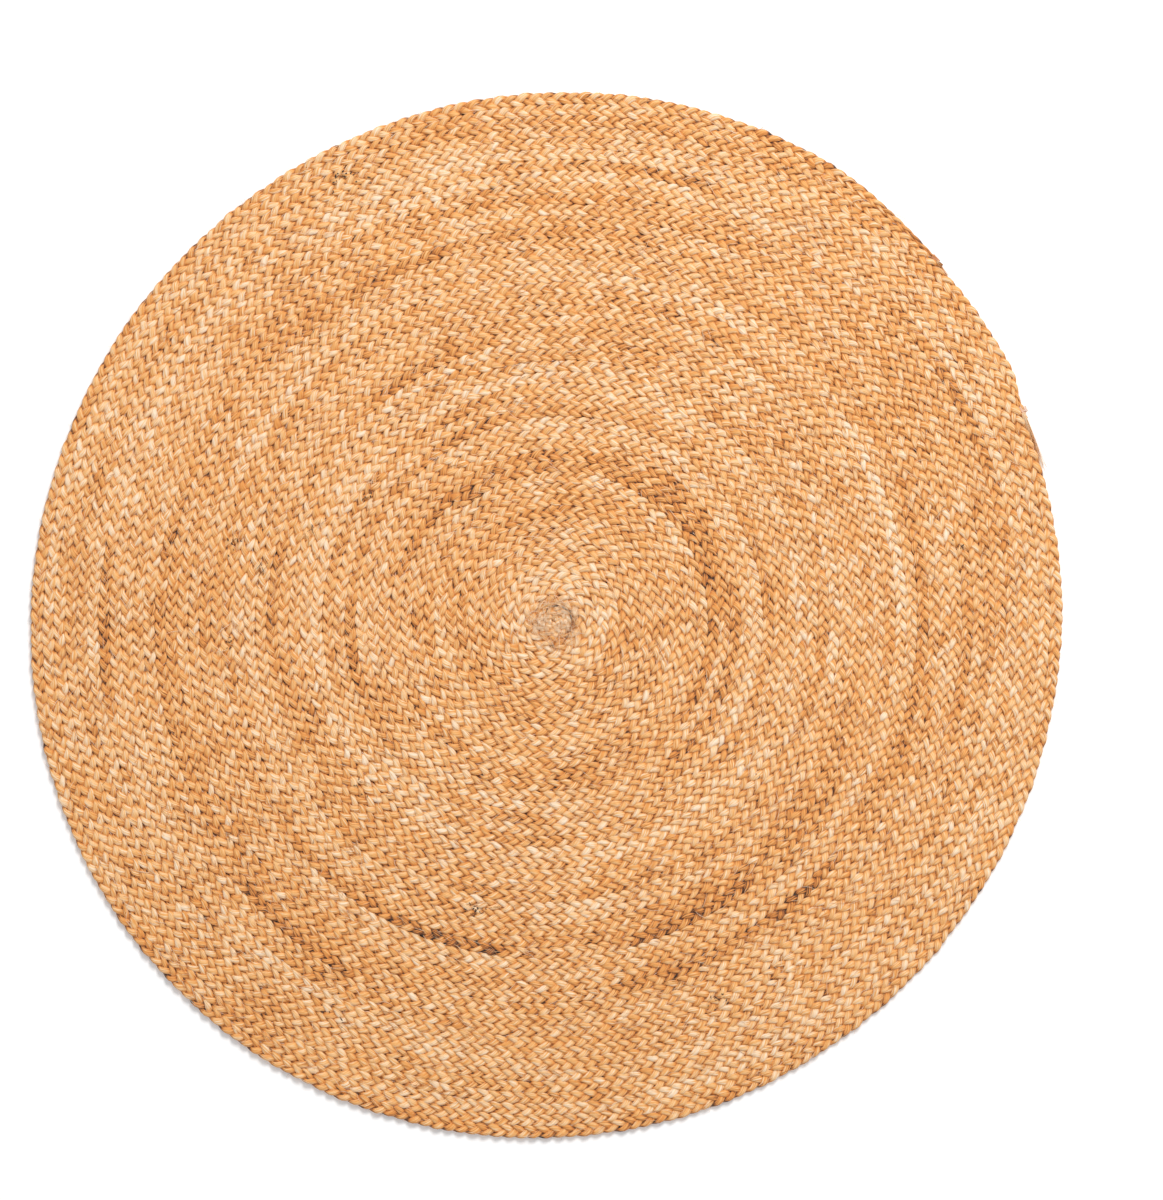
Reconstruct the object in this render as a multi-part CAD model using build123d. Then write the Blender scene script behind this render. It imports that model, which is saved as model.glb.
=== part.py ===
from build123d import *
import math
import os

# A round rug of two jute plaits, wound side by side in a flat double spiral from the centre outwards,
# clockwise seen from above, and laced edge to edge. Millimetres and degrees; the floor is z = 0 and the
# pile side is up. Directions in plan are counted anticlockwise from +X.

# ---------------------------------------------------------------- overall sizes
rug_diameter = 1200.0  # average across the rug, over the outermost plait
rug_thickness = 9.0  # one plait lying flat
plait_spacing = 12.85  # average, from the middle of one plait to the middle of the next
rim_allowance = 0.4  # plait spacings wound past the average radius, as the rim ends part way round

# ---------------------------------------------------------------- shape of the winding in plan
oval_share = 0.012  # the long axis is this much longer than average, the short axis this much shorter
oval_direction = 49.0  # direction of the long axis
lean_share = 0.007  # the turns are this much wider apart towards lean_direction, and closer opposite
lean_direction = 184.0
end_direction = {"a": 44.0, "b": 24.0}  # where each plait stops at the rim

# ---------------------------------------------------------------- one plait and its three strands
strands_per_plait = 3
strand_clearance = 0.3  # between neighbouring strands of a plait, and between the ends at a splice
seam_clearance = 0.3  # between neighbouring plaits where the turns lie closest
shoulder_radius = 3.6  # rounding of a plait's upper edges
foot_radius = 3.0  # rounding of its lower edges, which leaves the lacing its groove

# ---------------------------------------------------------------- where new strands were worked in
first_row = 2.0  # the plaits start this many plait spacings from the centre
splice_shares = {"a": (0.34, 0.595, 0.805), "b": (0.445, 0.68, 0.86)}  # of the way out to the rim
splice_stagger = 70.0  # from one strand's splice to the next strand's, along the plait

# ---------------------------------------------------------------- lacing, end bindings, centre
lacing_diameter = 1.0
lacing_height = 0.7  # middle of the lacing twine above the floor
lacing_start = 45.0  # the lacing starts this much of a turn after the plait that it runs along, degrees
binding_wall = 1.0  # the twine whipped round the end of each plait
binding_length = 10.0
binding_clearance = 0.3  # between the whipping and the strands inside it
binding_start = 1.0  # from the full plait to the whipping
tail_overhang = 6.0  # strand ends that show past the whipping
centre_clearance = 0.5  # between the centre coil and the first turns
centre_drop = 1.0  # the centre coil lies this much lower than the plaits
centre_edge_radius = 2.5

# ---------------------------------------------------------------- worked out from the sizes above
QUARTER = math.pi / 2
last_row = rug_diameter / 2 / plait_spacing + rim_allowance
shortest_arc = 1e-6  # radians; a shorter overlap with an arc of the winding makes no piece of its own
end_angle = math.pi * last_row  # winding angle at the end of plait a
tightest = 1 - oval_share - lean_share
plait_width = plait_spacing * tightest - seam_clearance
strand_width = (plait_width - (strands_per_plait - 1) * strand_clearance) / strands_per_plait
centre_height = rug_thickness - centre_drop
centre_radius = (first_row - 0.5) * plait_spacing * tightest - centre_clearance
growth = plait_spacing / math.pi  # the double spiral grows by one plait spacing in each half turn


def direction(plait, angle):
    """Direction from the centre, in radians, of a plait at a winding angle; plait b is half a turn on."""
    half_turn = 0 if plait == "a" else math.pi
    return math.radians(end_direction["a"]) + end_angle - half_turn - angle


def end_of(plait):
    """Winding angle at which a plait stops."""
    if plait == "a":
        return end_angle
    return end_angle - math.pi + math.radians(end_direction["a"] - end_direction["b"])


def outward(way):
    """Unit vector in a direction in plan."""
    return Vector(math.cos(way), math.sin(way), 0)


def reach(plait, angle):
    """Distance from the centre to the plait's tangent: even growth, made oval and leaning."""
    way = direction(plait, angle)
    oval = oval_share * math.cos(2 * (way - math.radians(oval_direction)))
    lean = lean_share * math.cos(way - math.radians(lean_direction))
    return growth * angle * (1 + oval + lean)


def bend_radius(plait, angle):
    """Radius of curvature there: the reach plus its second derivative by the winding angle."""
    way = direction(plait, angle)
    oval = 2 * (way - math.radians(oval_direction))
    lean = way - math.radians(lean_direction)
    even = growth * angle * (1 - 3 * oval_share * math.cos(oval))
    return even + growth * (4 * oval_share * math.sin(oval) + 2 * lean_share * math.sin(lean))


def smooth_point(plait, angle):
    """A point of the smooth winding: the reach outwards, plus the reach's change along the winding."""
    step = 1e-5
    change = (reach(plait, angle + step) - reach(plait, angle - step)) / (2 * step)
    way = direction(plait, angle)
    return outward(way) * reach(plait, angle) + outward(way - QUARTER) * change


def winding(plait):
    """The plait's middle line as tangent arcs of a quarter turn: (centre, radius, from, to) for each.
    The arcs meet half-way between the long and the short axis. Each has the average radius of curvature
    of its stretch, and its centre lies on the line through the last centre and the point where the two
    arcs meet. All of them are moved so that they lie evenly about the smooth winding."""
    meeting = (direction(plait, 0) - math.radians(oval_direction) - QUARTER / 2) % QUARTER
    start = meeting + QUARTER * math.floor((math.pi * first_row - meeting) / QUARTER)
    arcs = []
    centre = smooth_point(plait, start) - outward(direction(plait, start)) * mean_radius(plait, start)
    radius = mean_radius(plait, start)
    while start < end_of(plait):
        size = mean_radius(plait, start)
        centre += outward(direction(plait, start)) * (radius - size)
        radius = size
        arcs.append((centre, radius, start, start + QUARTER))
        start += QUARTER
    drift = Vector(0, 0, 0)
    for centre, radius, low, high in arcs:
        for angle in (low, (low + high) / 2):
            met = centre + outward(direction(plait, angle)) * radius
            drift += (met - smooth_point(plait, angle)) / (2 * len(arcs))
    return [(centre - drift, radius, low, high) for centre, radius, low, high in arcs]


def mean_radius(plait, start):
    """Average radius of curvature over the quarter turn from start, by Simpson's rule."""
    middle = bend_radius(plait, start + QUARTER / 2)
    return (bend_radius(plait, start) + 4 * middle + bend_radius(plait, start + QUARTER)) / 6


def cross_plane(plait, arc, angle):
    """Upright plane across the plait: its x points outwards, its y up, and it faces along the winding."""
    centre, radius, _, _ = arc
    out = outward(direction(plait, angle))
    return Plane(centre + out * radius, x_dir=out, z_dir=out.cross(Vector(0, 0, 1)))


def wound(plait, section, first, last):
    """Carries a section along the plait's arcs, from one winding angle to another. The solid's skin is
    the turned sides of every arc and the section itself at the two ends."""
    arcs = [arc for arc in windings[plait] if min(arc[3] - first, last - arc[2]) > shortest_arc]
    skin = [(cross_plane(plait, arcs[0], first) * section).face()]
    for arc in arcs:
        low = max(arc[2], first)
        high = min(arc[3], last)
        spin = Axis(arc[0], (0, 0, -1))
        turned = revolve(cross_plane(plait, arc, low) * section, spin, math.degrees(high - low))
        skin += [face for face in turned.faces() if not is_cut(face)]
    skin.append((cross_plane(plait, arcs[-1], last) * section).face())
    return Solid(Shell(skin))


def is_cut(face):
    """True for a flat upright face, which is where one arc ends and the next begins."""
    return face.geom_type == GeomType.PLANE and abs(face.normal_at().Z) < 0.5


def arc_at(plait, angle):
    """The arc that holds a winding angle."""
    return next(arc for arc in windings[plait] if arc[2] < angle <= arc[3])


def plait_section(inset=0.0):
    """Section across a plait: a flat loaf with rounded shoulders and feet, shrunk all round by inset."""
    width = plait_width - 2 * inset
    height = rug_thickness - 2 * inset
    loaf = Pos(0, inset) * Rectangle(width, height, align=(Align.CENTER, Align.MIN))
    loaf = fillet(loaf.vertices().group_by(Axis.Y)[-1], shoulder_radius - inset)
    return fillet(loaf.vertices().group_by(Axis.Y)[0], foot_radius - inset)


def strand_section(strand, inset=0.0):
    """One strand's share of the plait's section; strand 1 is the innermost."""
    middle = (strand - 1) * (strand_width + strand_clearance) - (plait_width - strand_width) / 2
    band = Pos(middle, 0) * Rectangle(strand_width, 3 * rug_thickness)
    return plait_section(inset) & band


def tail(plait, section, start, length):
    """A straight run past the end of the plait, from start to start + length along its last tangent."""
    angle = end_of(plait)
    plane = cross_plane(plait, arc_at(plait, angle), angle)
    return extrude(plane.offset(start) * section, length)


def splice_angle(plait, share, strand):
    """Winding angle of a splice by its share of the way; each strand's is a stagger further along."""
    angle = share * end_angle
    return angle + (strand - 1) * splice_stagger / (growth * angle)


def strand_lengths(plait, strand):
    """The strand's lengths, each (from, to) in winding angle, with a clearance at each splice."""
    splices = [splice_angle(plait, share, strand) for share in splice_shares[plait]]
    starts = [math.pi * first_row] + splices
    stops = splices + [end_of(plait)]
    lengths = []
    for start, stop in zip(starts, stops):
        gap = strand_clearance / (growth * stop) if stop in splices else 0
        lengths.append((start, stop - gap))
    return lengths


def strand_solid(plait, strand, length, lengths):
    """One length of one strand; the last length ends in the narrow tail that the whipping holds."""
    solid = wound(plait, strand_section(strand), *lengths[length])
    if length < len(lengths) - 1:
        return solid
    neck = strand_section(strand, binding_wall + binding_clearance)
    return solid + tail(plait, neck, 0, binding_start + binding_length + tail_overhang)


def lacing_solid(plait):
    """The twine that laces a plait to the next one out, in the groove between their feet."""
    out = (plait_width + seam_clearance) / 2
    section = Pos(out, lacing_height) * Circle(lacing_diameter / 2)
    first = math.pi * first_row + math.radians(lacing_start)
    last = end_of("b") - math.pi if plait == "a" else end_of("a") - math.pi
    return wound(plait, section, first, last)


def binding_solid(plait):
    """The whipping round the tail: a ring as thick all round as the plait is full."""
    ring = plait_section() - plait_section(binding_wall)
    return tail(plait, ring, binding_start, binding_length)


def centre_solid():
    """The tight little coil that the first turns go round, as a low round button."""
    button = Cylinder(centre_radius, centre_height, align=(Align.CENTER, Align.CENTER, Align.MIN))
    return fillet(button.edges().group_by(Axis.Z)[-1], centre_edge_radius)


windings = {plait: winding(plait) for plait in ("a", "b")}

nodes = {"centre_coil": centre_solid()}
for plait in ("a", "b"):
    for strand in range(1, strands_per_plait + 1):
        lengths = strand_lengths(plait, strand)
        for length in range(len(lengths)):
            name = f"plait_{plait}_strand_{strand}_length_{length + 1}"
            nodes[name] = strand_solid(plait, strand, length, lengths)
    nodes[f"lacing_{plait}"] = lacing_solid(plait)
    nodes[f"end_binding_{plait}"] = binding_solid(plait)

# The frame's origin is on the floor under the middle of the whole rug's box.
box = Compound([solid for shape in nodes.values() for solid in shape.solids()]).bounding_box()
middle = Vector(box.center().X, box.center().Y, 0)

os.makedirs("parts", exist_ok=True)
for name, shape in nodes.items():
    export_step(Pos(-middle.X, -middle.Y, 0) * shape, f"parts/{name}.step")
print("rug", box.size, "winding centre", -middle)
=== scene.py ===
"""A round hand-plaited jute rug: two three-strand plaits wound side by side in a flat double spiral,
laced edge to edge, with whipped ends at the rim. Metres; the floor is z = 0."""
import math

import bpy
import numpy as np
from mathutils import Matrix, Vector


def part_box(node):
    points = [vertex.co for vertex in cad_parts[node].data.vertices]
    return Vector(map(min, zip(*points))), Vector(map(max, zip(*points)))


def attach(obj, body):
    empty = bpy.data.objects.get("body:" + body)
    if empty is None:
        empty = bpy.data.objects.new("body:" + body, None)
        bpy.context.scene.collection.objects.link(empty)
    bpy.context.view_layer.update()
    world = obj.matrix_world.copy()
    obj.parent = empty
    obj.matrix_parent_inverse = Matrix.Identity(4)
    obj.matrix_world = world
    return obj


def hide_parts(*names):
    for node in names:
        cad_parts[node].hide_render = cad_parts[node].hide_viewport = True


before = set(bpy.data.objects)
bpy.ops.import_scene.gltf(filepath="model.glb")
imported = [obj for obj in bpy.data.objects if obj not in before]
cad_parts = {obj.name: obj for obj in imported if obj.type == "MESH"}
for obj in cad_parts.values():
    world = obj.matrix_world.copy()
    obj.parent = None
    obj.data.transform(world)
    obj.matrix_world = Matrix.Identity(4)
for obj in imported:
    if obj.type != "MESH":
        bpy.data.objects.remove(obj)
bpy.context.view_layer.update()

MM = 0.001
TURN = 2 * math.pi

# ---------------------------------------------------------------- the winding, as the frame has it
PLAIT_SPACING = 12.85 * MM
RUG_DIAMETER = 1200 * MM
RIM_ALLOWANCE = 0.4  # plait spacings wound past the average radius
THICKNESS = 9 * MM
OVAL_SHARE = 0.012
OVAL_DIRECTION = math.radians(49)
LEAN_SHARE = 0.007
LEAN_DIRECTION = math.radians(184)
END_DIRECTION = {"a": math.radians(44), "b": math.radians(24)}
SPLICE_SHARES = {"a": (0.34, 0.595, 0.805), "b": (0.445, 0.68, 0.86)}  # of the way out to the rim
SPLICE_STAGGER = 70 * MM
GROWTH = PLAIT_SPACING / math.pi
END_ANGLE = math.pi * (RUG_DIAMETER / 2 / PLAIT_SPACING + RIM_ALLOWANCE)
centre_low, centre_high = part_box("centre_coil")
MIDDLE = np.array([(centre_low[0] + centre_high[0]) / 2, (centre_low[1] + centre_high[1]) / 2])

# Stretches of darker or paler jute: plait, first and last row from the centre, and how much darker. The
# depths are multiplied by STRETCH_DEPTH, and each stretch fades in and out over STRETCH_FADE of a row.
STRETCH_DEPTH = 0.85
STRETCH_FADE = 0.02
STRETCHES = (
    ("b", 6.2, 6.5, 0.12), ("b", 9.64, 9.84, 0.14), ("b", 13.6, 14.56, 0.22), ("a", 14.46, 14.65, 0.30),
    ("a", 14.65, 15.35, 0.16), ("b", 16.0, 16.62, 0.24), ("a", 16.14, 16.24, 0.24), ("b", 17.14, 17.24, 0.18),
    ("a", 17.83, 17.9, 0.26), ("b", 18.42, 18.56, -0.2), ("b", 25.6, 25.75, 0.14), ("a", 26.0, 26.12, 0.16),
    ("b", 26.86, 27.0, 0.16), ("a", 26.88, 27.0, 0.14), ("a", 29.62, 29.76, 0.30), ("a", 29.86, 29.99, 0.30),
    ("a", 29.99, 30.25, 0.16), ("b", 31.3, 31.4, 0.14), ("a", 31.15, 31.34, -0.14), ("a", 33.0, 33.5, 0.12),
    ("a", 33.56, 33.77, 0.34), ("a", 34.6, 34.9, 0.13), ("a", 36.0, 36.12, 0.30), ("a", 38.0, 38.06, 0.26),
    ("a", 36.74, 36.86, -0.15), ("a", 40.1, 40.15, 0.26), ("a", 40.28, 40.4, 0.28), ("a", 40.88, 40.96, 0.22),
    ("a", 41.1, 41.34, 0.20), ("a", 45.5, 46.15, 0.13), ("a", 46.95, 47.0, 0.16), ("b", 44.9, 45.1, 0.10),
)

# Bits of bark and frayed fibre: direction in degrees and reach in mm from the middle, how many, how far
# they scatter, their length and half their thickness.
BARK = (
    (116, 567, 20, 9, 4, 0.8), (146, 259, 10, 4, 4, 0.8), (255, 347, 16, 6, 4, 0.8),
    (294, 475, 16, 8, 4, 0.8), (166, 383, 11, 7, 4, 0.7), (184, 377, 8, 4, 4, 0.8),
    (170, 340, 5, 9, 18, 0.4), (160, 300, 6, 12, 12, 0.35), (220, 300, 6, 16, 5, 0.6),
    (35, 330, 6, 14, 4, 0.6), (75, 430, 7, 18, 4, 0.6), (330, 300, 6, 16, 4, 0.6),
    (10, 470, 7, 14, 4, 0.6), (200, 480, 9, 22, 5, 0.6), (240, 520, 9, 16, 5, 0.6),
    (130, 420, 6, 12, 4, 0.6),
)

# ---------------------------------------------------------------- one plait
STRANDS = 3
PERIOD = 42.6 * MM  # along the plait, one strand's full path from edge to edge and back
SWAY = 4.9 * MM  # how far a strand swings to each side
SWAY_SHARPNESS = 0.045  # keeps its slope even from the midline to the edge
LIFT = 2.25 * MM  # how far a strand rises and falls
LATE_LIFT = 0.25  # holds a strand up until close to the plait's edge
LATE_LIFT_PEAK = 1.1  # about the peak of sin 2e - LATE_LIFT sin 4e
LIFT_LEAD = 0.22  # radians by which it rises before the midline and falls before the edge
MIDLINE_SHIFT = 0.35 * MM  # the crossings lie this much towards the rug's centre
STRAND_HALF_WIDTH = 4.1 * MM
STRAND_HALF_HEIGHT = 2.5 * MM
EDGE_NARROWING = 0.30  # share of its width that a strand loses where it rolls over the edge
EDGE_STANDING = 0.40  # share of its height that it gains there
MIDLINE_FLATTENING = 0.25  # share of its height that it loses where it passes through the middle
STATIONS = 12  # per period
ROUND = 10  # vertices round a strand
END_TAPER = {"a": math.radians(16), "b": math.radians(4)}  # how far back each plait begins to thin
END_SHARE = {"a": 0.36, "b": 0.42}  # share of its size left at its whipping
WHIPPING_START = 1 * MM  # past the end of the plait
WHIPPING_LENGTH = 10 * MM
WHIPPING_TONE = {"a": 0.12, "b": 0.6}  # jute brown on plait a, pale on plait b
TAIL = 6 * MM  # strand ends past the whipping
UNWHIPPED_HALF_WIDTH = 6.1 * MM  # of the whole plait, before it thins towards its whipping
UNWHIPPED_HALF_HEIGHT = 3.1 * MM
EARLY_START = 1.1 * math.pi  # winding angle at which the plaits' thin beginnings come off the centre
FULL_START = 1.95 * math.pi  # and at which they are full size

# ---------------------------------------------------------------- lacing, fibres, centre
STITCH = 19 * MM
LACING_STATION = 4.8 * MM  # along the twine, from one ring of vertices to the next
LACING_START = math.radians(405)  # winding angle
LACING_HEIGHT = 4.4 * MM
LACING_RISE = 1.9 * MM
LACING_SWING = 1.3 * MM
LACING_RADIUS = 0.45 * MM
LOOSE_FIBRES = 3900  # on each plait
RIM_FIBRES = 260
CENTRE_FIBRES = 260
CENTRE_PITCH = 8.0 * MM  # from one turn of the centre coil to the next
CENTRE_FIRST = 0.10  # turns
CENTRE_LAST = 2.35
CENTRE_DIRECTION = math.radians(230)
CENTRE_PERIOD = 24 * MM  # along the coil, one strand's full path from edge to edge and back
CENTRE_SWAY = 3.0 * MM
CENTRE_LIFT = 1.7 * MM


def smooth(x, low, high):
    """0 below low, 1 above high, and 3t^2 - 2t^3 between them."""
    t = np.clip((x - low) / (high - low), 0, 1)
    return t * t * (3 - 2 * t)


def wander(x, scale, seed):
    """Smooth random wandering between -1 and 1 about every scale: cosine steps between seeded draws."""
    x = np.asarray(x, float) / scale
    draws = np.random.default_rng(seed).uniform(-1, 1, int(np.max(x)) + 3 - min(0, int(np.min(x)) - 1))
    cell = np.floor(x).astype(int)
    part = (1 - np.cos(math.pi * (x - cell))) / 2
    return draws[cell] * (1 - part) + draws[cell + 1] * part


def direction(plait, angle):
    """Direction from the centre of a plait at a winding angle; the winding runs clockwise."""
    half_turn = 0 if plait == "a" else math.pi
    return END_DIRECTION["a"] + END_ANGLE - half_turn - angle


def end_of(plait):
    """Winding angle at which a plait ends. Plait b starts half a turn away from plait a."""
    return END_ANGLE if plait == "a" else END_ANGLE - math.pi + END_DIRECTION["a"] - END_DIRECTION["b"]


def winding(plait, angle, ahead=0.0):
    """Points of the winding, with the unit vectors outwards and along. A point is reach times outwards
    plus the reach's change times along, and reach is growth times the angle, made oval and leaning.
    ahead moves the line outwards by that much of the spiral's own growth, as an angle."""
    way = direction(plait, angle)
    grown = GROWTH * (angle + ahead)
    oval = 2 * (way - OVAL_DIRECTION)
    lean = way - LEAN_DIRECTION
    shape = 1 + OVAL_SHARE * np.cos(oval) + LEAN_SHARE * np.cos(lean)
    change = GROWTH * shape + grown * (2 * OVAL_SHARE * np.sin(oval) + LEAN_SHARE * np.sin(lean))
    out = np.stack([np.cos(way), np.sin(way)], -1)
    along = np.stack([np.sin(way), -np.cos(way)], -1)
    return MIDDLE + out * (grown * shape)[..., None] + along * change[..., None], out, along


class Line:
    """A plait's middle line by length: angle_at turns a length along it into a winding angle."""

    def __init__(self, plait):
        self.plait = plait
        self.angles = np.arange(EARLY_START - 0.6, END_ANGLE + 0.6, 0.02)
        points, _, _ = winding(plait, self.angles)
        steps = np.linalg.norm(np.diff(points, axis=0), axis=1)
        self.lengths = np.concatenate([[0], np.cumsum(steps)])

    def angle_at(self, length):
        return np.interp(length, self.lengths, self.angles)

    def length_at(self, angle):
        return np.interp(angle, self.angles, self.lengths)

    def lay(self, straight, ahead=0.0):
        """Lays points of a straight plait, (along, across, up), on the winding."""
        points, out, _ = winding(self.plait, self.angle_at(straight[..., 0]), ahead)
        plan = points + out * straight[..., 1:2]
        return np.concatenate([plan, straight[..., 2:3]], -1)


LINES = {plait: Line(plait) for plait in ("a", "b")}
SEEDS = {"a": 100, "b": 200}


def fullness(plait, angle):
    """Share of its full size that a plait has: thin where it comes off the centre and at its end."""
    start = 0.15 + 0.85 * smooth(angle, EARLY_START, FULL_START)
    thinned = smooth(angle, end_of(plait) - END_TAPER[plait], end_of(plait))
    return start * (1 - (1 - END_SHARE[plait]) * thinned)


def plait_length(plait, phase):
    """Length along the plait at a phase of its plaiting, a little uneven as hands make it."""
    base = LINES[plait].length_at(EARLY_START)
    uneven = 2.2 * MM * wander(phase, 9.0, SEEDS[plait] + 1) + 1.2 * MM * wander(phase, 2.3, SEEDS[plait] + 2)
    return base + PERIOD * phase / TURN + uneven


def rings_along(path, half_width, half_height, around):
    """Ovals of vertices square to a path, or to many paths at once: wide to its side, high upwards."""
    tangent = np.gradient(path, axis=-2)
    tangent /= np.linalg.norm(tangent, axis=-1, keepdims=True)
    level = np.stack([-tangent[..., 1], tangent[..., 0], np.zeros(tangent.shape[:-1])], -1)
    level /= np.linalg.norm(level, axis=-1, keepdims=True)
    upward = np.cross(tangent, level)
    turn = TURN * np.arange(around) / around
    wide = level * np.broadcast_to(half_width, path.shape[:-1])[..., None]
    high = upward * np.broadcast_to(half_height, path.shape[:-1])[..., None]
    ring = wide[..., None, :] * np.cos(turn)[:, None] + high[..., None, :] * np.sin(turn)[:, None]
    return path[..., None, :] + ring


def strand_rings(plait, strand, phases):
    """Rings of vertices along a strand of the straight plait, laid on the winding. With f the strand's
    own phase, it lies across at sway (sin f - k sin 3f) and up at lift (sin 2e - c sin 4e), where e is a
    little ahead of f, so that on top it runs from the midline out to the edge."""
    line = LINES[plait]
    f = phases + TURN * (strand - 1) / STRANDS
    length = plait_length(plait, phases)
    angle = line.angle_at(length)
    full = fullness(plait, angle)
    crossing = f / math.pi - 0.25
    seed = SEEDS[plait] + 10 * strand
    bulge = 1 + 0.17 * wander(crossing, 1.0, seed + 1)
    rise = 1 + 0.20 * wander(crossing, 1.0, seed + 2)
    side = 0.65 * MM * wander(crossing, 1.0, seed + 3)
    across = SWAY * (np.sin(f) - SWAY_SHARPNESS * np.sin(3 * f)) - MIDLINE_SHIFT * np.cos(f) ** 2 + side
    early = f + LIFT_LEAD / 2
    up = LIFT / LATE_LIFT_PEAK * (np.sin(2 * early) - LATE_LIFT * np.sin(4 * early)) * rise
    inward = np.where(angle < 3 * math.pi, 1.0, -1.0)
    across = across * full + inward * (1 - full) * PLAIT_SPACING / 2
    up = up * full + THICKNESS / 2
    edge = np.sin(f) ** 4
    middle = np.cos(f) ** 4
    half_width = STRAND_HALF_WIDTH * full * bulge * (1 - EDGE_NARROWING * edge)
    standing = 1 + EDGE_STANDING * edge - MIDLINE_FLATTENING * middle
    half_height = STRAND_HALF_HEIGHT * np.sqrt(full) * standing
    rings = rings_along(np.stack([length, across, up], -1), half_width, half_height, ROUND)
    rings[..., 2] = np.maximum(rings[..., 2], 0.1 * MM)
    return line.lay(rings), f, length


def tube_faces(count, around):
    """The faces of one closed tube with poles: quads between its rings, then a fan at each end."""
    ring, spot = np.meshgrid(np.arange(count - 1), np.arange(around), indexing="ij")
    after = (spot + 1) % around
    this_ring = ring * around
    next_ring = (ring + 1) * around
    corners = [this_ring + spot, this_ring + after, next_ring + after, next_ring + spot]
    here = np.arange(around)
    there = (here + 1) % around
    last = (count - 1) * around
    start_fan = np.stack([there, here, np.full(around, count * around)], -1)
    end_fan = np.stack([last + here, last + there, np.full(around, count * around + 1)], -1)
    return ring, spot, np.stack(corners, -1).reshape(-1), start_fan.reshape(-1), end_fan.reshape(-1)


def skin(name, rings, along, tone):
    """One mesh of closed tubes, each through its own rings (tubes x rings x round x 3) with a pole at
    each end. The UV map holds the length along in metres and the share of the way round."""
    if rings.ndim == 3:
        rings, along, tone = rings[None], along[None], tone[None]
    tubes, count, around, _ = rings.shape
    poles = rings[:, [0, -1]].mean(2)
    points = np.concatenate([rings.reshape(tubes, -1, 3), poles], 1)
    ring, spot, quads, start_fan, end_fan = tube_faces(count, around)
    loops = np.concatenate([quads, start_fan, end_fan])
    loops = loops + (np.arange(tubes) * points.shape[1])[:, None]
    sizes = np.tile(np.concatenate([np.full(quads.size // 4, 4), np.full(2 * around, 3)]), tubes)
    u_low, u_high = along[:, ring], along[:, ring + 1]
    v_low = np.broadcast_to(spot / around, u_low.shape)
    v_high = v_low + 1 / around
    quad_uv = np.stack([u_low, v_low, u_low, v_high, u_high, v_high, u_high, v_low], -1).reshape(tubes, -1, 2)
    here = np.broadcast_to(np.arange(around) / around, (tubes, around))
    there = here + 1 / around
    start_u = np.broadcast_to(along[:, :1], here.shape)
    end_u = np.broadcast_to(along[:, -1:], here.shape)
    start_uv = np.stack([start_u, there, start_u, here, start_u, here], -1).reshape(tubes, -1, 2)
    end_uv = np.stack([end_u, here, end_u, there, end_u, here], -1).reshape(tubes, -1, 2)
    uv_values = np.concatenate([quad_uv, start_uv, end_uv], 1)
    tones = np.concatenate([np.repeat(tone, around, axis=1), tone[:, [0, -1]]], 1)
    mesh = bpy.data.meshes.new(name)
    mesh.vertices.add(points.shape[0] * points.shape[1])
    mesh.vertices.foreach_set("co", points.ravel().astype(np.float32))
    mesh.loops.add(loops.size)
    mesh.loops.foreach_set("vertex_index", loops.ravel().astype(np.int32))
    mesh.polygons.add(len(sizes))
    mesh.polygons.foreach_set("loop_start", (np.cumsum(sizes) - sizes).astype(np.int32))
    mesh.polygons.foreach_set("use_smooth", np.ones(len(sizes), bool))
    mesh.update(calc_edges=True)
    mesh.uv_layers.new(name="fibre").data.foreach_set("uv", uv_values.ravel().astype(np.float32))
    lightness = mesh.attributes.new("tone", "FLOAT", "POINT")
    lightness.data.foreach_set("value", tones.ravel().astype(np.float32))
    thing = bpy.data.objects.new(name, mesh)
    bpy.context.scene.collection.objects.link(thing)
    return thing


def darker_stretches(plait, row):
    """How much darker the jute is that was worked in there; a minus is paler."""
    dark = np.zeros(len(row))
    for where, first, last, depth in STRETCHES:
        if where == plait:
            begun = smooth(row, first - STRETCH_FADE, first + STRETCH_FADE)
            over = smooth(row, last - STRETCH_FADE, last + STRETCH_FADE)
            dark += STRETCH_DEPTH * depth * begun * (1 - over)
    return dark


def strand_tone(plait, strand, f, length):
    """How light each crossing of the strand is, from 0 to 1: its own draw, held while it is on top and
    changed underneath, on slower drifts along the strand and the whole plait."""
    crossing = f / math.pi - 0.25
    cell = np.floor(crossing + 0.5).astype(int)
    seed = SEEDS[plait] + 10 * strand
    draws = np.random.default_rng(seed + 5).normal(0, 1, cell.max() + 2)
    here = np.clip(draws, -2.2, 2.2)[cell]
    strand_drift = wander(length, 0.16, seed + 6)
    slow_drift = wander(length, 0.9, seed + 7)
    plait_drift = wander(length, 1.4, SEEDS[plait] + 8)
    plait_change = wander(length, 0.22, SEEDS[plait] + 9)
    shade = 0.595 + 0.065 * here + 0.11 * strand_drift + 0.08 * slow_drift
    shade = shade + 0.06 * plait_drift + 0.065 * plait_change
    return shade - darker_stretches(plait, LINES[plait].angle_at(length) / math.pi)


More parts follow.
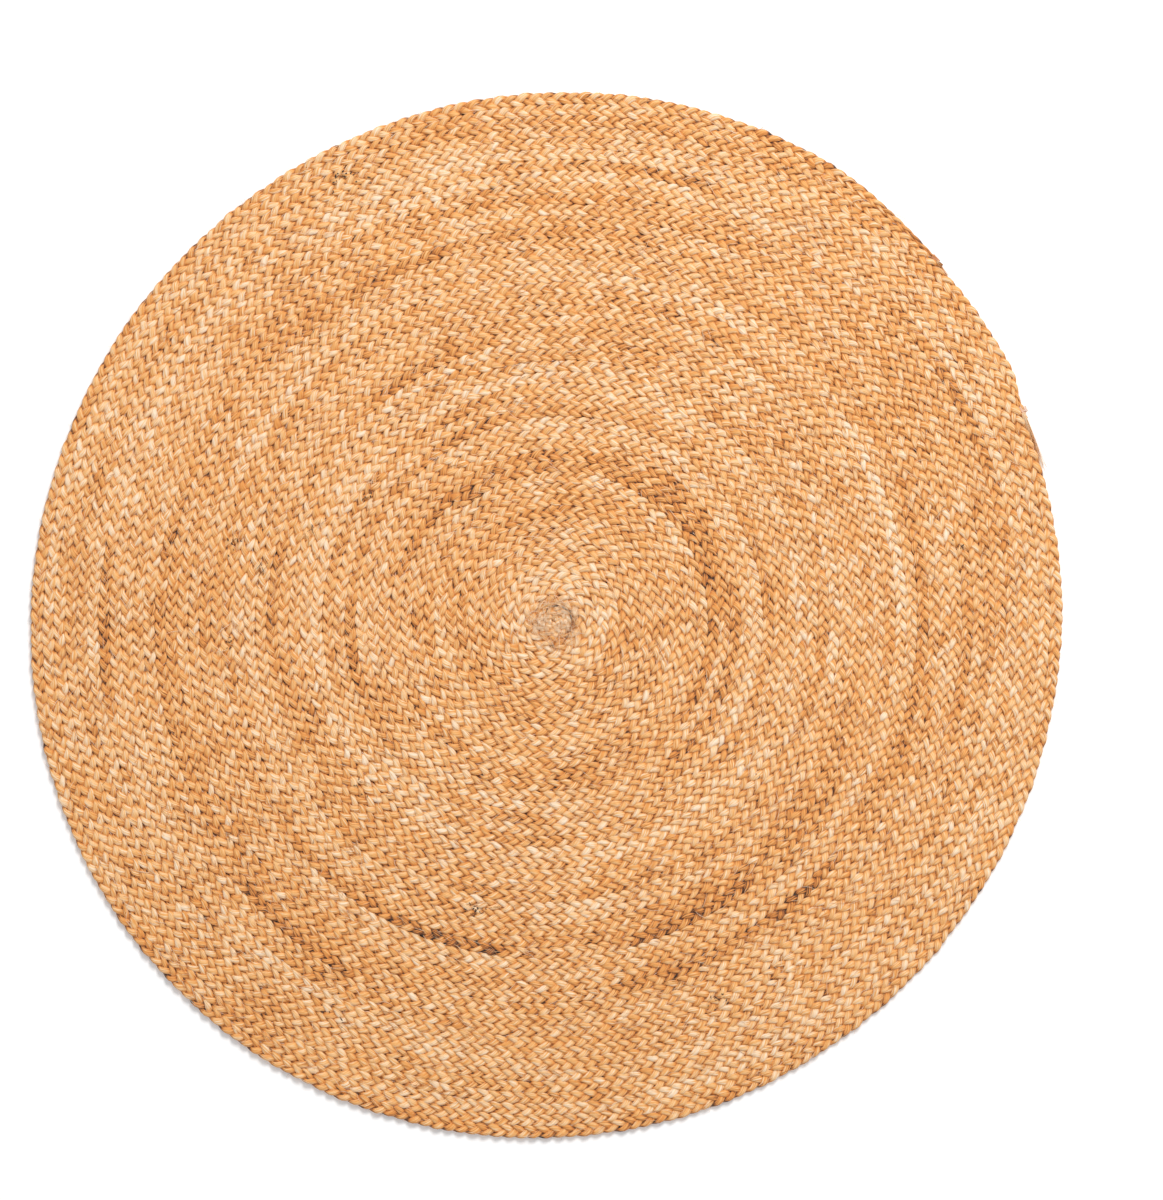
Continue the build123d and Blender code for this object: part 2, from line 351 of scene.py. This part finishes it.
def strand_spans(plait, strand):
    """The strand's lengths as (from, to) in plaiting phase, cut where the strand is hidden in the
    middle of the plait."""
    line = LINES[plait]
    splices = END_ANGLE * np.array(SPLICE_SHARES[plait])
    cuts = [EARLY_START, *(splices + (strand - 1) * SPLICE_STAGGER / (GROWTH * splices))]
    tail = WHIPPING_START + WHIPPING_LENGTH + TAIL
    cuts.append(line.angle_at(line.length_at(end_of(plait)) + tail))
    table = np.arange(0, 1300 * TURN, 0.2)
    lengths = plait_length(plait, table)
    phases = [np.interp(line.length_at(cut), lengths, table) for cut in cuts]
    offset = TURN * (strand - 1) / STRANDS
    hidden = [round((phase + offset) / math.pi) * math.pi - offset for phase in phases[1:-1]]
    ends = [phases[0], *hidden, phases[-1]]
    return list(zip(ends[:-1], ends[1:]))


# ---------------------------------------------------------------- finishes
FIBRE_TWIST = 14.0  # turns of the fibres round a strand, in each metre of it


class Value:
    """A number from a shader socket that can be used in sums; each sum adds a Math node."""

    def __init__(self, finish, socket):
        self.finish = finish
        self.socket = socket

    def _with(self, operation, *others):
        return self.finish.node("ShaderNodeMath", {"operation": operation}, dict(enumerate(others)))

    def __add__(self, other):
        return self._with("ADD", self, other)

    def __radd__(self, other):
        return self._with("ADD", other, self)

    def __sub__(self, other):
        return self._with("SUBTRACT", self, other)

    def __rsub__(self, other):
        return self._with("SUBTRACT", other, self)

    def __mul__(self, other):
        return self._with("MULTIPLY", self, other)

    def __rmul__(self, other):
        return self._with("MULTIPLY", other, self)

    def __abs__(self):
        return self._with("ABSOLUTE", self)

    def step(self, low, high):
        """0 below low, 1 above high, smooth between them."""
        ranged = {0: self, 1: low, 2: high, 3: 0.0, 4: 1.0}
        return self.finish.node("ShaderNodeMapRange", {"interpolation_type": "SMOOTHSTEP"}, ranged)


class Finish:
    """One material; node() adds any node from its type, settings and inputs, and gives an output."""

    def __init__(self, name):
        self.material = bpy.data.materials.new(name)
        self.material.use_nodes = True
        self.nodes = self.material.node_tree.nodes
        self.links = self.material.node_tree.links
        self.shader = self.nodes["Principled BSDF"]

    def node(self, kind, settings=None, inputs=None, output=0):
        made = self.nodes.new(kind)
        for key, value in (settings or {}).items():
            setattr(made, key, value)
        self.feed(made, inputs or {})
        return Value(self, made.outputs[output])

    def feed(self, made, inputs):
        """Links each Value to its input, and sets each plain number or colour on it."""
        for key, value in inputs.items():
            if isinstance(value, Value):
                self.links.new(value.socket, made.inputs[key])
            else:
                made.inputs[key].default_value = value

    def ramp(self, factor, stops):
        """The colour at a factor along (place, colour) stops."""
        made = self.nodes.new("ShaderNodeValToRGB")
        band = made.color_ramp
        for at, colour in stops[1:-1]:
            band.elements.new(at)
        for element, (at, colour) in zip(band.elements, stops):
            element.position = at
            element.color = (*colour, 1)
        self.links.new(factor.socket, made.inputs[0])
        return Value(self, made.outputs[0])

    def surface(self, **inputs):
        """Feeds the shader, with _ for each space in an input's name, and gives the material."""
        self.feed(self.shader, {key.replace("_", " "): value for key, value in inputs.items()})
        return self.material


def fibre_streaks(finish, lengthwise, crosswise, detail, seed):
    """Noise drawn out along the strand: the UV map's length and way round, each at its own scale."""
    uv = finish.node("ShaderNodeUVMap", {"uv_map": "fibre"})
    length = finish.node("ShaderNodeSeparateXYZ", {}, {0: uv}, output=0)
    way_round = finish.node("ShaderNodeSeparateXYZ", {}, {0: uv}, output=1)
    twisted = way_round + length * FIBRE_TWIST
    angle = twisted * TURN
    cosine = finish.node("ShaderNodeMath", {"operation": "COSINE"}, {0: angle})
    sine = finish.node("ShaderNodeMath", {"operation": "SINE"}, {0: angle})
    place = {0: cosine * crosswise, 1: sine * crosswise, 2: length * lengthwise + seed}
    vector = finish.node("ShaderNodeCombineXYZ", {}, place)
    noise = {"Vector": vector, "Scale": 1.0, "Detail": detail, "Roughness": 0.65}
    return finish.node("ShaderNodeTexNoise", {}, noise)


def jute_finish(name, stops, relief=1.2 * MM):
    """Raw jute: a colour from straw to orange brown by the crossing's tone and the fibres' streaks, darkened
    by painted shade towards the plait's middle height where the crevices between strands lie, a few dark
    flecks of bark, and fine ridges along the fibres."""
    finish = Finish(name)
    tone = finish.node("ShaderNodeAttribute", {"attribute_name": "tone"}, output=2)
    coarse = fibre_streaks(finish, 50.0, 2.8, 2.0, 3.0)
    fine = fibre_streaks(finish, 110.0, 6.0, 3.0, 40.0)
    place = finish.node("ShaderNodeTexCoord", output=3)
    height = finish.node("ShaderNodeSeparateXYZ", {}, {0: place}, output=2)
    # Painted shade: the colour darkens towards the plait's middle height, in the crevices between the
    # strands, the same above and below.
    off_middle = abs(height - THICKNESS / 2)
    painted_crevice_shade = 1.0 - off_middle.step(-0.7 * MM, 4.1 * MM)
    level = tone + (coarse - 0.5) * 1.5 + (fine - 0.5) * 1.2 + 0.09 - painted_crevice_shade * 0.56
    colour = finish.ramp(level, stops)
    fleck_noise = fibre_streaks(finish, 90.0, 0.9, 2.0, 90.0)
    fleck = fleck_noise.step(0.765, 0.80)
    dark = (0.13, 0.055, 0.025, 1)
    colour = finish.node(
        "ShaderNodeMix", {"data_type": "RGBA"}, {0: fleck, 6: colour, 7: dark}, output=2)
    ridges = fine * 0.6 + coarse * 0.9
    bump = finish.node("ShaderNodeBump", {}, {"Strength": 0.8, "Distance": relief, "Height": ridges})
    return finish.surface(Base_Color=colour, Normal=bump, Roughness=0.78, Sheen_Weight=0.15)


# Colour stops from dark brown to pale straw, here and in the two tables below. The low stops show darker
# jute, and also the painted crevice shade that jute_finish takes off the level.
JUTE_STOPS = (
    (0.0, (0.033, 0.017, 0.011)),
    (0.05, (0.21, 0.06, 0.016)),
    (0.27, (0.67, 0.232, 0.042)),
    (0.46, (0.74, 0.325, 0.080)),
    (0.66, (0.82, 0.455, 0.175)),
    (0.85, (0.855, 0.575, 0.325)),
    (1.0, (0.88, 0.70, 0.52)),
)
CORE_STOPS = (
    (0.0, (0.06, 0.03, 0.018)),
    (0.25, (0.56, 0.22, 0.065)),
    (0.45, (0.76, 0.37, 0.13)),
    (0.65, (0.83, 0.48, 0.21)),
    (0.85, (0.86, 0.58, 0.32)),
    (1.0, (0.88, 0.70, 0.49)),
)
TWINE_STOPS = (
    (0.0, (0.50, 0.20, 0.08)),
    (0.5, (0.78, 0.52, 0.38)),
    (1.0, (0.90, 0.72, 0.60)),
)


def place(thing, material, slot, *nodes):
    """Gives a piece its material and what it rides on, and hides the nodes it stands for; its slot is not
    used.
    """
    thing.data.materials.append(material)
    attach(thing, "root")
    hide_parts(*nodes)


def make_plaits(material):
    """The strands of both plaits, each in its spliced lengths."""
    for plait in ("a", "b"):
        for strand in range(1, STRANDS + 1):
            for number, (start, stop) in enumerate(strand_spans(plait, strand), 1):
                count = int(round((stop - start) / TURN * STATIONS)) + 1
                phases = np.linspace(start, stop, count)
                rings, f, length = strand_rings(plait, strand, phases)
                tone = strand_tone(plait, strand, f, length)
                node = f"plait_{plait}_strand_{strand}_length_{number}"
                thing = skin(f"jute_{plait}{strand}_length_{number}", rings, length, tone)
                place(thing, material, "jute_strand", node)


def make_lacing(material):
    """The lacing twine in the seam outside each plait: it swings from plait to plait and rises and dips,
    one swing in each stitch."""
    for plait, neighbour in (("a", "b"), ("b", "a")):
        line = LINES[plait]
        last = end_of(neighbour) - math.pi
        low, high = line.length_at(LACING_START), line.length_at(last)
        length = np.linspace(low, high, int((high - low) / LACING_STATION))
        swing = TURN * (length + 3 * MM * wander(length, 0.05, SEEDS[plait] + 60)) / STITCH
        up = LACING_HEIGHT + LACING_RISE * np.cos(swing)
        path = np.stack([length, LACING_SWING * np.sin(swing), up], -1)
        rings = line.lay(rings_along(path, LACING_RADIUS, LACING_RADIUS, 4), ahead=math.pi / 2)
        tone = 0.7 + 0.1 * wander(length, 0.03, SEEDS[plait] + 61)
        place(skin(f"lacing_twine_{plait}", rings, length, tone), material, "lacing_twine", f"lacing_{plait}")


def spiral_path(count):
    """The centre coil's middle line, a flat spiral round the rug's middle, clockwise: its reach is its
    pitch times its turns."""
    angle = np.linspace(CENTRE_FIRST * TURN, CENTRE_LAST * TURN, count)
    reach = CENTRE_PITCH * angle / TURN
    way = CENTRE_DIRECTION - angle
    path = np.stack([reach * np.cos(way), reach * np.sin(way), np.full(count, THICKNESS / 2)], -1)
    path[:, :2] += MIDDLE
    return path, angle


def length_of(path):
    """Length along a path, or along each of many paths, at each of its points."""
    steps = np.linalg.norm(np.diff(path, axis=-2), axis=-1)
    return np.concatenate([np.zeros((*steps.shape[:-1], 1)), np.cumsum(steps, -1)], -1)


def make_centre_coil(material):
    """The centre coil: a finer plait of three strands in a tight flat spiral. With f a strand's phase, it
    lies outwards at sway sin f and up at lift sin 2f."""
    path, angle = spiral_path(280)
    outward = path - np.array([*MIDDLE, THICKNESS / 2])
    outward /= np.linalg.norm(outward, axis=-1, keepdims=True)
    length = length_of(path)
    taper = 0.35 + 0.65 * smooth(angle, 0.1 * TURN, 0.6 * TURN)
    taper *= 1 - 0.5 * smooth(angle, 2.0 * TURN, CENTRE_LAST * TURN)
    strand = np.arange(STRANDS)[:, None]
    f = TURN * (length / CENTRE_PERIOD + strand / STRANDS)
    uneven = 1 + 0.16 * wander(length + strand, 0.006, 76)
    strands = path + outward * (CENTRE_SWAY * np.sin(f) * taper)[..., None]
    strands[..., 2] += CENTRE_LIFT * np.sin(2 * f) * taper
    rings = rings_along(strands, 2.7 * MM * taper * uneven, 2.1 * MM * np.sqrt(taper), 12)
    tone = 0.82 + 0.12 * wander(length + strand, 0.009, 77)
    along = np.broadcast_to(length, f.shape)
    place(skin("centre_coil_jute", rings, along, tone), material, "core_jute", "centre_coil")


def centre_fibres(material):
    """Fibres teased round the centre: each is an arc that drifts in or out and bows up by sin pi t."""
    draw = np.random.default_rng(78)
    count = CENTRE_FIBRES
    reach = (2 + 30 * draw.uniform(0, 1, count) ** 0.7) * MM
    start = draw.uniform(0, TURN, count)
    share = np.linspace(0, 1, 7)
    swept = draw.uniform(5, 15, count) * MM / np.maximum(reach, 5 * MM)
    way = start[:, None] - swept[:, None] * share
    out = reach[:, None] * (1 + 0.5 * draw.normal(0, 1, count)[:, None] * (share - 0.5))
    bow = 1.4 * MM + 0.6 * MM * draw.uniform(0, 1, count)[:, None]
    up = 7.6 * MM + bow * np.sin(math.pi * share) ** 0.6
    path = np.stack([MIDDLE[0] + out * np.cos(way), MIDDLE[1] + out * np.sin(way), up], -1)
    radius = draw.uniform(0.15, 0.34, count)[:, None] * MM * np.sin(math.pi * (0.1 + 0.8 * share))
    tone = np.broadcast_to(draw.uniform(0.6, 1.05, count)[:, None], up.shape)
    rings = rings_along(path, radius, radius, 3)
    place(skin("centre_fibres", rings, length_of(path), tone), material, "core_jute", "centre_coil")


def loose_fibres(plait, material):
    """Single fibres that lie loose on a plait. Each is a bow in plan, (t, bend 4t(1-t)) turned by its
    heading, and its ends dip into the plait: up = top minus dip (1 - sin pi t)."""
    line = LINES[plait]
    draw = np.random.default_rng(SEEDS[plait] + 80)
    count = LOOSE_FIBRES
    share = np.linspace(0, 1, 6)
    angle = np.sqrt(draw.uniform((2.2 * math.pi) ** 2, (end_of(plait) - 0.1) ** 2, count))
    size = draw.gamma(4.0, 3.2, count) * MM + 5 * MM
    heading = draw.choice([-1, 1], count) * draw.normal(0.45, 0.30, count)
    bend = draw.normal(0, 0.10, count)
    bow = bend[:, None] * 4 * share * (1 - share)
    ahead = size[:, None] * (share * np.cos(heading)[:, None] - bow * np.sin(heading)[:, None])
    sideways = size[:, None] * (share * np.sin(heading)[:, None] + bow * np.cos(heading)[:, None])
    across = sideways + draw.uniform(-6, 5, count)[:, None] * MM
    across = np.where((angle > end_of(plait) - TURN)[:, None], np.minimum(across, 5.5 * MM), across)
    top = 8.9 * MM + 0.5 * MM * draw.uniform(0, 1, count) ** 2
    up = top[:, None] - 2.4 * MM * (1 - np.sin(math.pi * share) ** 0.7)
    path = np.stack([line.length_at(angle)[:, None] + ahead, across, up], -1)
    radius = draw.uniform(0.15, 0.36, count)[:, None] * MM * np.sin(math.pi * (0.12 + 0.76 * share))
    rings = rings_along(path, radius, radius, 3)
    pale = draw.uniform(0.62, 1.05, count)
    tone = np.where(draw.uniform(0, 1, count) < 0.3, draw.uniform(0.0, 0.35, count), pale)
    tone = np.broadcast_to(tone[:, None], up.shape)
    nodes = [f"plait_{plait}_strand_{strand}_length_{n}" for strand in (1, 2, 3) for n in (1, 2, 3, 4)]
    fibres = skin(f"loose_fibres_{plait}", line.lay(rings), length_of(path), tone)
    place(fibres, material, "jute_strand", *nodes)


def make_bark(material):
    """Bits of dark bark and frayed brown fibre caught in the jute, scattered about each of their places."""
    draw = np.random.default_rng(301)
    share = np.linspace(0, 1, 5)
    pieces = []
    for way, reach, count, spread, size, thick in BARK:
        at_way = math.radians(way) + draw.normal(0, spread / reach, count)
        at_reach = (reach + draw.normal(0, 0.6 * spread, count)) * MM
        centre = MIDDLE + np.stack([np.cos(at_way), np.sin(at_way)], -1) * at_reach[:, None]
        along = at_way - math.pi / 2 + draw.choice([-1, 1], count) * draw.normal(0.5, 0.25, count)
        long = size * MM * draw.uniform(0.5, 1.4, count)
        bow = long[:, None] * draw.normal(0, 0.12, count)[:, None] * 4 * share * (1 - share)
        forth = long[:, None] * (share - 0.5)
        x = centre[:, :1] + forth * np.cos(along)[:, None] - bow * np.sin(along)[:, None]
        y = centre[:, 1:] + forth * np.sin(along)[:, None] + bow * np.cos(along)[:, None]
        up = np.broadcast_to(9.1 * MM - 1.4 * MM * (1 - np.sin(math.pi * share)), x.shape)
        radius = thick * MM * draw.uniform(0.5, 1.3, count)[:, None] * np.sin(math.pi * (0.1 + 0.8 * share))
        pieces.append((np.stack([x, y, up], -1), radius))
    path = np.concatenate([piece[0] for piece in pieces])
    radius = np.concatenate([piece[1] for piece in pieces])
    rings = rings_along(path, radius, radius * 0.6, 5)
    tone = np.broadcast_to(draw.uniform(-0.45, 0.1, len(path))[:, None], radius.shape)
    bits = skin("bark_bits", rings, length_of(path), tone)
    place(bits, material, "jute_strand", "plait_a_strand_1_length_2")


def rim_fibres(material):
    """Loose fibres that stand out from the outermost turn, close to the floor."""
    draw = np.random.default_rng(401)
    line = LINES["a"]
    count = RIM_FIBRES
    share = np.linspace(0, 1, 6)
    angle = draw.uniform(END_ANGLE - TURN, END_ANGLE - 0.3, count)
    size = draw.gamma(2.5, 3.0, count) * MM + 3 * MM
    heading = draw.uniform(0.15, 1.1, count)
    curl = draw.normal(0, 0.5, count)[:, None] * share
    ahead = size[:, None] * share * np.cos(heading[:, None] + curl)
    across = 3.5 * MM + size[:, None] * share * np.sin(heading[:, None] + curl)
    across = np.minimum(across, 12 * MM)
    up = draw.uniform(1.5, 6.5, count)[:, None] * MM * (1 - 0.7 * share)
    path = np.stack([line.length_at(angle)[:, None] + ahead, across, up + 0.3 * MM], -1)
    radius = draw.uniform(0.09, 0.17, count)[:, None] * MM * (1 - 0.6 * share)
    tone = np.broadcast_to(draw.uniform(0.3, 0.9, count)[:, None], up.shape)
    rings = line.lay(rings_along(path, radius, radius, 3))
    fibres = skin("rim_fibres", rings, length_of(path), tone)
    place(fibres, material, "jute_strand", "plait_a_strand_1_length_4")


def end_frame(plait):
    """Where a plait's whipping starts, as length along it, and how far inwards the plait lies there."""
    line = LINES[plait]
    return line.length_at(end_of(plait)) + WHIPPING_START, -(1 - END_SHARE[plait]) * PLAIT_SPACING / 2


def whipping(plait, material):
    """Twine whipped round a plait's end: a helix (pitch t, wide cos t, high sin t) round its middle."""
    start, inward = end_frame(plait)
    twine = 0.55 * MM
    wide = UNWHIPPED_HALF_WIDTH * END_SHARE[plait] + 0.9 * MM
    high = UNWHIPPED_HALF_HEIGHT * math.sqrt(END_SHARE[plait]) + 0.9 * MM
    turns = WHIPPING_LENGTH / (1.9 * twine)
    t = np.linspace(0, turns * TURN, int(turns * 26))
    forward = start + WHIPPING_LENGTH * t / t[-1]
    middle = np.stack([forward, np.full(t.size, inward), np.full(t.size, high + twine)], -1)
    radial = np.stack([np.zeros(t.size), np.cos(t), np.sin(t)], -1)
    path = middle + radial * np.array([0, wide, high])
    turn = TURN * np.arange(7) / 7
    axis = np.array([1.0, 0, 0])
    ring = np.cos(turn)[:, None] * axis + np.sin(turn)[:, None] * radial[:, None, :]
    rings = LINES[plait].lay(path[:, None, :] + twine * ring)
    tone = np.full(t.size, WHIPPING_TONE[plait]) + 0.12 * wander(t, 2.0, SEEDS[plait] + 65)
    wound = skin(f"whipping_{plait}", rings, length_of(path), tone)
    place(wound, material, "lacing_twine", f"end_binding_{plait}")


def knot(plait, material):
    """The whipping's knot, a trefoil: (sin t + 2 sin 2t, cos t - 2 cos 2t, -sin 3t), on its outer side."""
    start, inward = end_frame(plait)
    t = np.linspace(0, TURN, 90)
    scale = 1.1 * MM
    wide = UNWHIPPED_HALF_WIDTH * END_SHARE[plait] + 1.6 * MM
    x = start + 5 * MM + scale * (np.sin(t) + 2 * np.sin(2 * t))
    y = inward + wide + 0.7 * scale * (np.cos(t) - 2 * np.cos(2 * t))
    path = np.stack([x, y, 6.0 * MM - 1.1 * scale * np.sin(3 * t)], -1)
    rings = LINES[plait].lay(rings_along(path, 0.6 * MM, 0.6 * MM, 7))
    tone = np.full(t.size, 0.8)
    tied = skin(f"whipping_knot_{plait}", rings, length_of(path), tone)
    place(tied, material, "lacing_twine", f"end_binding_{plait}")


def frayed_tail(plait, count, longest, material):
    """Frayed fibres that fan out past the whipping and lie along the rim."""
    start, inward = end_frame(plait)
    draw = np.random.default_rng(SEEDS[plait] + 71)
    share = np.linspace(0, 1, 9)
    size = draw.uniform(0.25, 1.0, count) * longest
    fan = draw.normal(0, 0.04, count)
    curl = draw.normal(-0.03, 0.05, count)
    ahead = start + WHIPPING_LENGTH - 2 * MM + size[:, None] * share
    offset = draw.uniform(-1, 1, count) * 5.0 * MM * END_SHARE[plait]
    spread = size[:, None] * (fan[:, None] * share + curl[:, None] * share ** 2)
    across = inward + offset[:, None] - 2.5 * MM * share + spread
    across = np.minimum(across, 5 * MM)
    up = (5.2 * MM + draw.uniform(-3, 3, count)[:, None] * MM) * (1 - share) ** 0.8 + 0.5 * MM
    path = np.stack([ahead, across, up], -1)
    radius = draw.uniform(0.12, 0.26, count)[:, None] * MM * (1 - 0.5 * share)
    tone = np.broadcast_to(draw.uniform(0.5, 1.1, count)[:, None], up.shape)
    rings = LINES[plait].lay(rings_along(path, radius, radius, 4))
    node = f"plait_{plait}_strand_1_length_4"
    place(skin(f"frayed_tail_{plait}", rings, length_of(path), tone), material, "jute_strand", node)


def make_floor():
    """A plain pale floor under the rug."""
    half = 6.0
    corners = [(-half, -half, 0), (half, -half, 0), (half, half, 0), (-half, half, 0)]
    mesh = bpy.data.meshes.new("floor")
    mesh.from_pydata(corners, [], [(0, 1, 2, 3)])
    floor = bpy.data.objects.new("floor", mesh)
    bpy.context.scene.collection.objects.link(floor)
    finish = Finish("pale_floor")
    mesh.materials.append(finish.surface(Base_Color=(0.98, 0.98, 0.985, 1), Roughness=0.9))


def make_lights():
    """An even white surround, and one large soft lamp high up to the right and behind."""
    world = bpy.data.worlds.new("studio")
    bpy.context.scene.world = world
    world.use_nodes = True
    world.node_tree.nodes["Background"].inputs[0].default_value = (1, 1, 1, 1)
    world.node_tree.nodes["Background"].inputs[1].default_value = 0.69
    light = bpy.data.lights.new("window_light", "AREA")
    light.energy = 262
    light.size = 2.1
    light.color = (1, 0.99, 0.97)
    lamp = bpy.data.objects.new("window_light", light)
    lamp.location = (1.6, 3.6, 4.4)
    bpy.context.scene.collection.objects.link(lamp)
    aim(lamp, (0, 0, 0))


def aim(thing, target):
    """Turns a lamp so that it shines at the target."""
    way = Vector(target) - thing.location
    thing.rotation_euler = way.to_track_quat("-Z", "Y").to_euler()


def make_camera():
    """Straight above the rug, looking down, with a long lens."""
    height = 6.0
    seen = 1.3866  # height of the picture on the rug
    data = bpy.data.cameras.new("camera")
    data.sensor_fit = "VERTICAL"
    data.sensor_height = 24
    data.lens = 24 * height / seen
    camera = bpy.data.objects.new("camera", data)
    camera.location = (0.0404, 0.0173, height)
    bpy.context.scene.collection.objects.link(camera)
    bpy.context.scene.camera = camera


make_camera()
make_floor()
make_lights()
jute = jute_finish("jute", JUTE_STOPS)
fibre = jute_finish("jute_fibre", JUTE_STOPS, 0.03 * MM)
core_fibre = jute_finish("core_fibre", CORE_STOPS, 0.03 * MM)
twine = jute_finish("twine", TWINE_STOPS, 0.15 * MM)
make_plaits(jute)
make_lacing(twine)
make_centre_coil(jute)
centre_fibres(fibre)
for plait in ("a", "b"):
    loose_fibres(plait, fibre)
make_bark(fibre)
rim_fibres(fibre)
for plait, count, longest in (("a", 60, 22 * MM), ("b", 200, 80 * MM)):
    whipping(plait, twine)
    frayed_tail(plait, count, longest, core_fibre)
knot("b", twine)
bpy.context.scene.view_settings.view_transform = "Standard"

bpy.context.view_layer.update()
